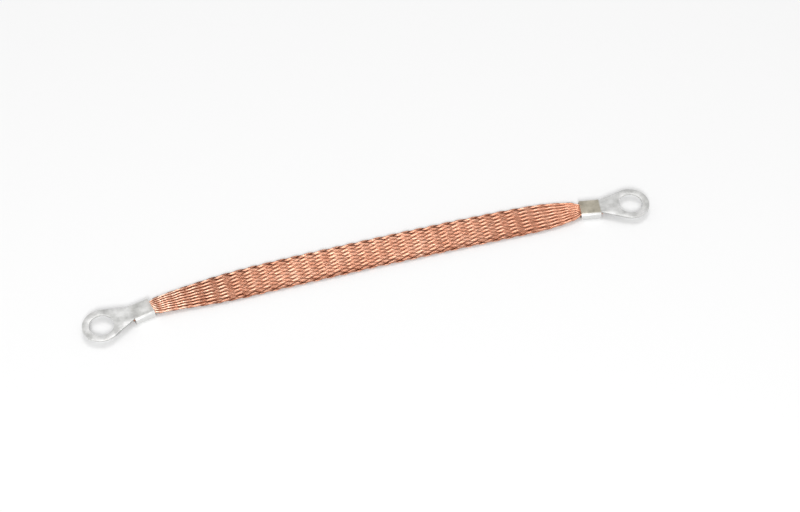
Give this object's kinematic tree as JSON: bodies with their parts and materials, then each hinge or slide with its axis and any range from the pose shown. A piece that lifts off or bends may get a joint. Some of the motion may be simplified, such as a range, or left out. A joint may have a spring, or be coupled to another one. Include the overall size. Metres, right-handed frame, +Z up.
{
  "type": "flexible busbar braid",
  "caption": "Flat flexible earthing strap: a rolled-flat tubular braid of bare copper wire with a crimped tinned ring lug at each end.",
  "frame": {"origin": "on the surface that the strap lies on, under the middle of its box", "axes": "+X along the strap from the left lug to the right lug, +Z up, off the flat face of the braid"},
  "size_m": [0.2, 0.0184, 0.003],
  "materials": {
    "tinned_sheet": "tinned copper sheet, matt and slightly mottled",
    "copper_wire": "bare drawn copper wire, bright to salmon"
  },
  "bodies": {
    "root": {"lug_left": "tinned_sheet", "lug_right": "tinned_sheet", "strand_a_01": "copper_wire", "strand_a_02": "copper_wire", "strand_a_03": "copper_wire", "strand_a_04": "copper_wire", "strand_a_05": "copper_wire", "strand_a_06": "copper_wire", "strand_a_07": "copper_wire", "strand_a_08": "copper_wire", "strand_a_09": "copper_wire", "strand_a_10": "copper_wire", "strand_a_11": "copper_wire", "strand_a_12": "copper_wire", "strand_a_13": "copper_wire", "strand_a_14": "copper_wire", "strand_a_15": "copper_wire", "strand_a_16": "copper_wire", "strand_b_01": "copper_wire", "strand_b_02": "copper_wire", "strand_b_03": "copper_wire", "strand_b_04": "copper_wire", "strand_b_05": "copper_wire", "strand_b_06": "copper_wire", "strand_b_07": "copper_wire", "strand_b_08": "copper_wire", "strand_b_09": "copper_wire", "strand_b_10": "copper_wire", "strand_b_11": "copper_wire", "strand_b_12": "copper_wire", "strand_b_13": "copper_wire", "strand_b_14": "copper_wire", "strand_b_15": "copper_wire", "strand_b_16": "copper_wire"}
  },
  "joints": []
}
